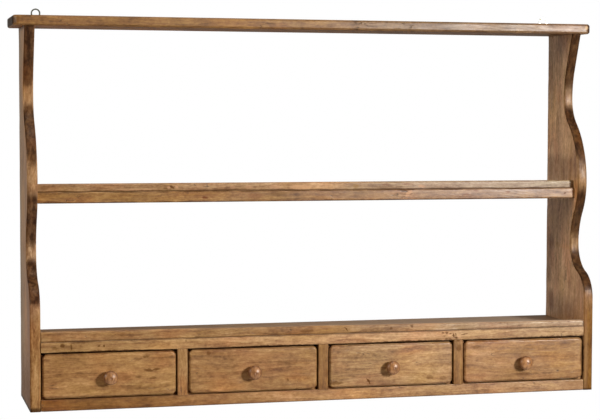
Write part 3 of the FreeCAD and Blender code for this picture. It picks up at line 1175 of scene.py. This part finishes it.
RAIL_MARKS = (
    Mark(-559.3, -674.9, 13, 9, strength=0.7), Mark(-540.9, -677.6, 4, 17, strength=0.6),
    Mark(-575, -680, 16, 8, strength=0.4), Mark(-483.7, -676.5, 7, 5, strength=0.6),
    Mark(-473.2, -676.8, 6, 6), Mark(-300.1, -671.7, 5, 5, strength=0.5),
    Mark(273, -688, 8, 5, tone=PALE, strength=0.6), Mark(286, -678.5, 9, 6, tone=PALE, strength=0.7),
    Mark(308, -682.5, 10, 6, tone=PALE, strength=0.5), Mark(271, -672.5, 9, 4, strength=0.75),
    Mark(280, -672.5, 8, 4, strength=0.75), Mark(289, -674, 8, 4, strength=0.75),
    Mark(295.5, -679, 5, 8, strength=0.85), Mark(301, -677, 4, 9, strength=0.85),
    Mark(302, -684, 8, 6, strength=0.75), Mark(318.5, -677, 12, 4, strength=0.65),
    Mark(325, -676, 10, 4, strength=0.65), Mark(275, -679.5, 7, 4, strength=0.5),
    Mark(279.5, -686, 9, 5, strength=0.6), Mark(288.5, -687, 8, 5, strength=0.6),
    # Painted shade along the foot of the rail, over the gap above the drawers
    Mark(-470, -689, 270, 5, tone=RAIL_GAP_SHADE), Mark(-120, -689, 240, 5, tone=RAIL_GAP_SHADE),
    Mark(190, -689, 220, 6, tone=RAIL_GAP_SHADE), Mark(520, -689, 230, 7, tone=RAIL_GAP_SHADE),
    # Painted reflection of the right side in the top of the shelf beside it
    Mark(596, -655, 30, 16, tone=PAINTED_SIDE_REFLECTION, depth=-60, width=120),
    Mark(582, -655, 66, 16, tone=PAINTED_SIDE_REFLECTION, depth=-155, width=110),
)
LIP_MARKS = on_face(
    -218,
    Mark(-36.2, -659.3, 40, 10, strength=0.5), Mark(50.8, -657.6, 14, 4, tilt=40),
    Mark(152.5, -658.3, 9, 7, strength=0.6), Mark(200.4, -655.3, 8, 9, strength=0.7),
)
BASE_MARKS = (Mark(594, -803, 110, 40, tone=paint(128, 92, 62), strength=0.55),)
DIVIDER_KNOT = (Mark(308.5, -706.8, 14, 20, strength=0.55), Mark(306, -690, 9, 8, strength=0.6))
LEFT_MARKS = (
    # The lower part of the outer face is darker and browner than the upper part, which catches sheen:
    # painted shade
    Mark(-629, -811, 11, 320, tone=paint(110, 70, 34), strength=0.95, depth=-110, width=900),
    Mark(-629, -813, 14, 24, tone=paint(24, 14, 4), strength=0.9, depth=-110, width=900),
    Mark(-615, -813, 60, 26, tone=paint(50, 30, 12), depth=-222),
)
RIGHT_MARKS = (
    Mark(612, -626, 40, 70, tone=DUSK, strength=0.6, depth=-30, width=50),
    Mark(612, -570, 40, 60, tone=DUSK, strength=0.3, depth=-20, width=36),
    Mark(612, -490, 40, 50, tone=DUSK, strength=0.4, depth=-30, width=40),
    # Painted shade on the inner face, low down and just above the middle shelf
    Mark(600, -655, 24, 120, tone=SHADE, strength=0.5, depth=-105, width=220),
    Mark(600, -318, 24, 84, tone=SHADE, strength=0.4, depth=-70, width=400),
    Mark(634, -657, 24, 9, strength=0.7),
    # Paler along the inner part of the front edge low down; the next mark is a dark line at its inner arris
    # beside the fourth drawer, painted shade of the gap
    Mark(604, -730, 26, 260, tone=paint(142, 114, 90), strength=0.28, depth=-222),
    Mark(603, -740, 6, 116, tone=paint(38, 16, 4), strength=0.75, depth=-222),
    Mark(615, -813, 60, 14, tone=paint(50, 28, 10), depth=-222),
)

# The fades are tints along each board: the stain's drift, and painted sheen where they turn paler and greyer
# towards the right end
LONG_BOARDS = (
    LongBoard("top_board", 1.3, 0.82, ((1.03, 1.01, 0.85), (0.79, 0.8, 0.7), (0.58, 0.68, 1.02)),
              TOP_MARKS, roughness=0.46, end_tone=0.1, edge_width=0.003, edge_dark=0.5, dust_and_sheen=(0.14, 0.14)),
    LongBoard("middle_shelf", 2.3, 0.98, ((0.95, 1.0, 0.9), (0.7, 0.71, 0.77), (0.66, 0.71, 0.93)),
              SHELF_MARKS, edge_dark=0.8, dust_and_sheen=(0.14, 0.14)),
    LongBoard("middle_lip", 3.3, 1.05, ((1.0, 1.18, 1.5), (0.9, 1.03, 1.46), (0.79, 1.13, 2.1)),
              MIDDLE_MARKS, "pine_strips", edge_dark=0.8, edge_top=0.1),
    LongBoard("lower_shelf", 4.3, 1.05, ((0.95, 1.05, 1.13), (1.2, 1.36, 1.78), (0.86, 1.0, 1.25)),
              RAIL_MARKS, edge_foot=0.1, dust_and_sheen=(0.16, 0.62)),
    LongBoard("lower_lip", 5.3, 0.95, ((0.99, 1.1, 1.26), (0.78, 0.79, 0.79), (1.04, 1.39, 2.35)),
              LIP_MARKS, "pine_strips", edge_top=0.1, dust_and_sheen=(0.16, 0.62), lift=(0.006, -0.0026)),
    LongBoard("base_board", 6.3, 1.12, ((0.56, 0.47, 0.3), (0.96, 1.01, 1.22), (0.94, 1.09, 1.48)),
              BASE_MARKS, edge_top=0.1),
)
DIVIDERS = (
    Divider("divider_1", 13.7, (1.04, 1.14, 1.28)),
    Divider("divider_2", 14.7, (0.65, 0.62, 0.55)),
    Divider("divider_3", 15.7, (0.59, 0.57, 0.47), DIVIDER_KNOT),
)
SIDES = (
    ScallopedSide("left_side", 11.7, 0.85, (1.22, 1.47, 2.45), (1.18, 1.26, 1.39),
                  ((0.9, 0.76, 0.7), (1.3, 1.4, 1.75), (0.85, 1.02, 1.3)), LEFT_MARKS),
    ScallopedSide("right_side", 12.7, 1.5, (0.43, 0.51, 0.76), (0.36, 0.335, 0.21),
                  ((0.79, 0.89, 1.3), (1.24, 1.58, 2.55), (1.34, 1.75, 3.0)), RIGHT_MARKS),
)


class Carcass:
    """The fixed boards of the shelf, its back panel and its hanging eyes."""

    def build(self) -> None:
        """Makes the worn boards and dresses the rest."""
        for board in (*LONG_BOARDS, *DIVIDERS, *SIDES):
            board.build()
        self.dress_fittings()

    def dress_fittings(self) -> None:
        """Gives the back panel, the dowels and the metal their finishes."""
        panel = AgedPine("thin_panel", Grain.ALONG, 17.2, *node_box("back_panel"),
                         stain=Stain().deeper(0.9), contrast=0.7)
        dress_node("back_panel", panel.build())
        dowel = AgedPine("dowel_wood", Grain.UPRIGHT, 18.2, *node_box("top_dowels"))
        dress_node("top_dowels", dowel.build())
        steel = DullSteel("dull_steel").build()
        for node in ("left_hanger", "right_hanger", "hanger_screws", "back_panel_pins"):
            dress_node(node, steel)


@dataclass
class TurnedKnob:
    """A turned knob: collar, cove, neck, round shoulder, and a flatter crown with a dimple."""

    index: int
    radius: float = 15.2
    shoulder: float = 9.0
    crown: float = 11.2
    neck: float = 7.5
    neck_length: float = 1.4
    collar: float = 10.0
    collar_length: float = 1.2
    cove_length: float = 1.6
    dimple: float = 2.6
    dimple_depth: float = 0.7
    segments: int = 56

    def build(self) -> bpy.types.Object:
        """Makes the piece.

        Returns:
            The knob.
        """
        node = f"drawer_{self.index}_knob"
        low, high = (Vector(corner) for corner in node_box(node))
        seat = Vector(((low.x + high.x) / 2, high.y, (low.z + high.z) / 2))
        shape = bmesh.new()
        self.outline(shape)
        bmesh.ops.spin(shape, geom=shape.verts[:] + shape.edges[:], cent=(0, 0, 0), axis=(0, 1, 0),
                       angle=2 * math.pi, steps=self.segments, use_merge=True)
        bmesh.ops.remove_doubles(shape, verts=shape.verts, dist=0.001)
        bmesh.ops.recalc_face_normals(shape, faces=shape.faces)
        bmesh.ops.scale(shape, verts=shape.verts, vec=(MM, MM, MM))
        bmesh.ops.translate(shape, verts=shape.verts, vec=seat)
        material = TurnedLacquer(f"lacquer_{self.index}", tuple(seat)).build()
        return add_piece(shape, f"turned_knob_{self.index}", node, f"drawer_{self.index}",
                         material)

    def outline(self, shape: bmesh.types.BMesh) -> None:
        """Draws half of the knob's section, from the dimple to the middle of the collar.

        Args:
            shape: The empty shape, in millimetres, with the knob's axis on Y and its face at -Y.
        """
        neck_start = self.collar_length + self.cove_length
        neck_end = neck_start + self.neck_length
        hub = self.radius - self.shoulder
        middle = neck_end + math.sqrt(self.shoulder ** 2 - (self.neck - hub) ** 2)
        tip = middle + self.crown
        flatness = self.crown - self.shoulder
        crown_radius = (hub ** 2 + self.crown ** 2 - self.shoulder ** 2) / (2 * flatness)
        crown_centre = tip - crown_radius
        rim_turn = math.asin(self.dimple / crown_radius)
        meeting_turn = math.atan2(hub, middle - crown_centre)
        rim = crown_centre + crown_radius * math.cos(rim_turn)
        last = shape.verts.new((0, -(rim - self.dimple_depth), 0))
        last = self.run(shape, last, self.dimple * 0.7, rim - self.dimple_depth * 0.7)
        last = self.run(shape, last, self.dimple, rim)
        last = self.sweep(shape, last, 0, crown_centre, meeting_turn - rim_turn, 10)
        neck_turn = math.atan2(self.neck - hub, neck_end - middle)
        last = self.sweep(shape, last, hub, middle, neck_turn - meeting_turn, 18)
        last = self.run(shape, last, self.neck, neck_start)
        last = self.run(shape, last, self.collar, self.collar_length)
        last = self.run(shape, last, self.collar, 0)
        self.run(shape, last, 0, 0)

    def run(self, shape: bmesh.types.BMesh, start: bmesh.types.BMVert, radius: float,
            reach: float) -> bmesh.types.BMVert:
        """Draws a straight run of the section.

        Args:
            shape: The shape.
            start: Where the run starts.
            radius: Distance of its end from the knob's axis.
            reach: Distance of its end from the knob's seat.

        Returns:
            The vertex at its end.
        """
        made = bmesh.ops.extrude_vert_indiv(shape, verts=[start])
        end = made["verts"][0]
        end.co = Vector((radius, -reach, 0))
        return end

    def sweep(self, shape: bmesh.types.BMesh, start: bmesh.types.BMVert, radius: float, reach: float,
              turn: float, steps: int) -> bmesh.types.BMVert:
        """Draws an arc of the section about a centre and returns its end.

        Args:
            shape: The shape.
            start: Where the arc starts.
            radius: The centre's distance from the knob's axis.
            reach: The centre's distance from the knob's seat.
            turn: Angle of the arc in radians.
            steps: Number of its parts.

        Returns:
            The vertex at its end.
        """
        made = bmesh.ops.spin(shape, geom=[start], cent=(radius, -reach, 0), axis=(0, 0, 1), angle=turn,
                              steps=steps)
        return next(part for part in made["geom_last"] if isinstance(part, bmesh.types.BMVert))


@dataclass
class Drawer:
    """One small drawer: its worn front, its box and its turned knob."""

    index: int
    depth: float
    fade: Fade
    marks: tuple[Mark, ...]

    def build(self) -> None:
        """Makes the front and the knob and dresses the box."""
        body = f"drawer_{self.index}"
        node = f"{body}_front"
        # The front takes painted shade in the gap round it
        finish = AgedPine(f"pine_{node}", Grain.ALONG, 31.0 + self.index * 1.9, *node_box(node),
                          stain=Stain().deeper(self.depth), fade=self.fade, marks=self.marks,
                          edge_width=0.003, edge_dark=0.3, gap_shade=0.85, dust_and_sheen_share=CLEAN)
        WornBoard(node, body, "pine_fronts", finish, wear=0.0016, reach=0.0065, spacing=0.009).build()
        TurnedKnob(self.index).build()
        self.dress_box(body)

    def dress_box(self, body: str) -> None:
        """Gives the walls, the back, the bottom and the screw their finishes.

        Args:
            body: Name of the drawer's body.
        """
        pale = Stain().deeper(1.15)
        for name in sorted(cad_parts):
            if not name.startswith(body) or name.endswith(("_front", "_knob")):
                continue
            if name.endswith("_screw"):
                dress_node(name, DullSteel(f"steel_{name}").build())
                continue
            grain = Grain.INWARD if "wall" in name else Grain.ALONG
            face = {"wall": Face.SIDE, "bottom": Face.TOP}.get(name.split("_")[-1], Face.FRONT)
            finish = AgedPine(f"plain_{name}", grain, 50 + self.index, *node_box(name), stain=pale,
                              face=face, contrast=0.7, edge_dark=0.3, edge_width=0.002, roughness=0.6)
            dress_node(name, finish.build())


DRAWERS = (
    Drawer(1, 0.95, ((1.04, 1.06, 1.07), (1.05, 1.1, 1.1), (1.07, 1.14, 1.15)),
           (Mark(-385.1, -701.5, 18, 8, strength=0.55), Mark(-402, -707, 22, 7, strength=0.4),
            Mark(-364, -729.7, 20, 7, tilt=-12, strength=0.65),
            Mark(-379, -731.5, 24, 8, tilt=8, strength=0.65),
            Mark(-370.4, -748.5, 18, 8, strength=0.5), Mark(-402.2, -745.2, 16, 7, strength=0.4))),
    Drawer(2, 0.9, ((0.98, 1.02, 1.06), (0.97, 1.02, 1.07), (0.97, 1.02, 1.07)),
           (Mark(-251.6, -700, 11, 11, strength=0.5), Mark(-78.5, -763.4, 7, 7, strength=0.5))),
    Drawer(3, 1.0, ((0.95, 1.09, 1.32), (0.97, 1.13, 1.46), (0.97, 1.13, 1.5)),
           (Mark(101.6, -772.2, 20, 5, tilt=52), Mark(28.3, -774, 36, 10, strength=0.6),
            Mark(241.9, -768.6, 24, 10, strength=0.45), Mark(271.9, -772.1, 20, 10, strength=0.45))),
    Drawer(4, 0.86, ((0.97, 1.0, 1.13), (0.97, 1.0, 1.13), (0.97, 1.02, 1.15)),
           (Mark(457, -769.6, 42, 10, strength=0.45), Mark(350, -706, 24, 9, strength=0.4),
            # The last mark darkens the right edge of the front beside its gap: painted shade
            Mark(602, -735, 16, 76, tone=paint(60, 30, 14), strength=0.4))),
)


@dataclass(frozen=True)
class Lamp:
    """A soft panel of light that faces the middle of the shelf."""

    name: str
    place: Triple
    width: float
    height: float
    power: float
    tint: Triple = PLAIN
    target: Triple = (0.0, -0.1, -0.45)

    def build(self) -> None:
        """Makes the lamp."""
        data = bpy.data.lights.new(self.name, "AREA")
        data.shape = "RECTANGLE"
        data.size = self.width
        data.size_y = self.height
        data.energy = self.power
        data.color = self.tint
        lamp = bpy.data.objects.new(self.name, data)
        bpy.context.collection.objects.link(lamp)
        lamp.location = self.place
        aim = Vector(self.target) - Vector(self.place)
        lamp.rotation_euler = aim.to_track_quat("-Z", "Y").to_euler()


@dataclass
class Studio:
    """The floor, the lamps, the white surround and the camera."""

    floor_drop: float = 1.8
    floor_radius: float = 3.2
    ambient: float = 0.07
    ambient_tint: Triple = (1.0, 0.64, 0.34)
    mirrored_tint: Triple = (1.0, 0.95, 0.87)
    mirrored: float = 0.08
    mirrored_behind: float = 0.36
    wall_side: Pair = (-0.1, 0.7)
    eye: Triple = (-0.94131, -3.69239, -0.19945)
    yaw: float = 14.3519
    pitch: float = -3.1858
    roll: float = 0.1373
    focal_pixels: float = 1682.2
    sensor: float = 36.0
    far_limit: float = 100.0
    lamps: tuple[Lamp, ...] = (
        Lamp("key", (1.62, -2.5, 0.2), 0.5, 0.45, 98, (1.0, 0.98, 0.95)),
        Lamp("overhead", (0.1, -0.75, 2.6), 1.6, 0.8, 28, (1.0, 0.9, 0.78)),
        Lamp("left", (-6.0, -1.3, 1.6), 2.0, 2.0, 170, (1.0, 0.88, 0.72)),
    )

    def build(self) -> None:
        """Makes everything round the object."""
        self.make_world()
        self.make_floor()
        for lamp in self.lamps:
            lamp.build()
        self.make_camera()

    def make_world(self) -> None:
        """A surround that is white to the camera and behind the shelf, and soft warm light to the rest."""
        world = bpy.data.worlds.new("surround")
        bpy.context.scene.world = world
        world.use_nodes = True
        tree = world.node_tree
        tree.nodes.clear()
        rays = tree.nodes.new("ShaderNodeLightPath")
        output = tree.nodes.new("ShaderNodeOutputWorld")
        last = self.surround(tree, self.ambient_tint, self.ambient)
        kinds = (("Is Glossy Ray", self.mirrored), ("Is Transmission Ray", 1.0), ("Is Camera Ray", 1.0))
        for kind, strength in kinds:
            glossy = kind == "Is Glossy Ray"
            seen = self.surround(tree, self.mirrored_tint if glossy else PLAIN, strength)
            if glossy:
                tree.links.new(self.behind(tree), seen.inputs["Strength"])
            mixed = tree.nodes.new("ShaderNodeMixShader")
            tree.links.new(rays.outputs[kind], mixed.inputs[0])
            tree.links.new(last.outputs[0], mixed.inputs[1])
            tree.links.new(seen.outputs[0], mixed.inputs[2])
            last = mixed
        tree.links.new(last.outputs[0], output.inputs["Surface"])

    def surround(self, tree: bpy.types.NodeTree, tint: Triple, strength: float) -> bpy.types.Node:
        """Adds one even surround.

        Args:
            tree: Node tree of the world.
            tint: Its colour.
            strength: Its light.

        Returns:
            The node.
        """
        shade = tree.nodes.new("ShaderNodeBackground")
        shade.inputs["Color"].default_value = (*tint, 1.0)
        shade.inputs["Strength"].default_value = strength
        return shade

    def behind(self, tree: bpy.types.NodeTree) -> Socket:
        """The strength of reflections, dim from the room in front and bright from the wall side.

        Args:
            tree: Node tree of the world.

        Returns:
            The strength.
        """
        parts = tree.nodes.new("ShaderNodeSeparateXYZ")
        tree.links.new(tree.nodes.new("ShaderNodeTexCoord").outputs["Generated"], parts.inputs[0])
        reach = tree.nodes.new("ShaderNodeMapRange")
        tree.links.new(parts.outputs[1], reach.inputs["Value"])
        reach.inputs["From Min"].default_value = self.wall_side[0]
        reach.inputs["From Max"].default_value = self.wall_side[1]
        reach.inputs["To Min"].default_value = self.mirrored
        reach.inputs["To Max"].default_value = self.mirrored_behind
        return reach.outputs["Result"]

    def make_floor(self) -> None:
        """A pale round floor, below the height at which the shelf hangs."""
        mesh = bpy.data.meshes.new("floor")
        shape = bmesh.new()
        bmesh.ops.create_circle(shape, cap_ends=True, radius=self.floor_radius, segments=96)
        bmesh.ops.translate(shape, verts=shape.verts, vec=(0, 0, -self.floor_drop))
        shape.to_mesh(mesh)
        shape.free()
        floor = bpy.data.objects.new("floor", mesh)
        bpy.context.collection.objects.link(floor)
        sheet = NodeSheet("floor_paint")
        place = sheet.place()
        cloud = sheet.noise(place, (3, 3, 3))
        colour = sheet.mix(cloud, paint(240, 240, 238), paint(246, 246, 244))
        painted = sheet.shade(colour, 0.8)
        far = sheet.length(sheet.mapped(place, scale=(1, 1, 0)))
        rim = sheet.span(far, self.floor_radius * 0.45, self.floor_radius * 0.98)
        faded = sheet.add("ShaderNodeMixShader")
        sheet.feed(faded.inputs[0], rim)
        sheet.feed(faded.inputs[1], painted.outputs[0])
        sheet.feed(faded.inputs[2], sheet.add("ShaderNodeBsdfTransparent").outputs[0])
        sheet.feed(sheet.output.inputs["Surface"], faded.outputs[0])
        mesh.materials.append(sheet.material)

    def make_camera(self) -> None:
        """The camera at the photograph's place."""
        data = bpy.data.cameras.new("camera")
        data.sensor_fit = "HORIZONTAL"
        data.sensor_width = self.sensor
        data.lens = self.focal_pixels / IMAGE_WIDTH * self.sensor
        data.clip_end = self.far_limit
        camera = bpy.data.objects.new("camera", data)
        bpy.context.collection.objects.link(camera)
        yaw, pitch, roll = (math.radians(v) for v in (self.yaw, self.pitch, self.roll))
        forward = Vector((math.sin(yaw) * math.cos(pitch), math.cos(yaw) * math.cos(pitch),
                          math.sin(pitch)))
        level = Vector((math.cos(yaw), -math.sin(yaw), 0))
        upward = level.cross(forward)
        right = level * math.cos(roll) + upward * math.sin(roll)
        top = upward * math.cos(roll) - level * math.sin(roll)
        turn = Matrix((right, top, -forward)).transposed()
        camera.matrix_world = Matrix.Translation(self.eye) @ turn.to_4x4()
        bpy.context.scene.camera = camera


def main() -> None:
    """Builds the pieces in order."""
    logging.basicConfig(level=logging.INFO, format="%(name)s: %(message)s")
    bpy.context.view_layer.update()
    bpy.context.scene.view_settings.view_transform = "Standard"
    Studio().build()
    Carcass().build()
    for drawer in DRAWERS:
        drawer.build()


if __name__ == "__main__":
    main()
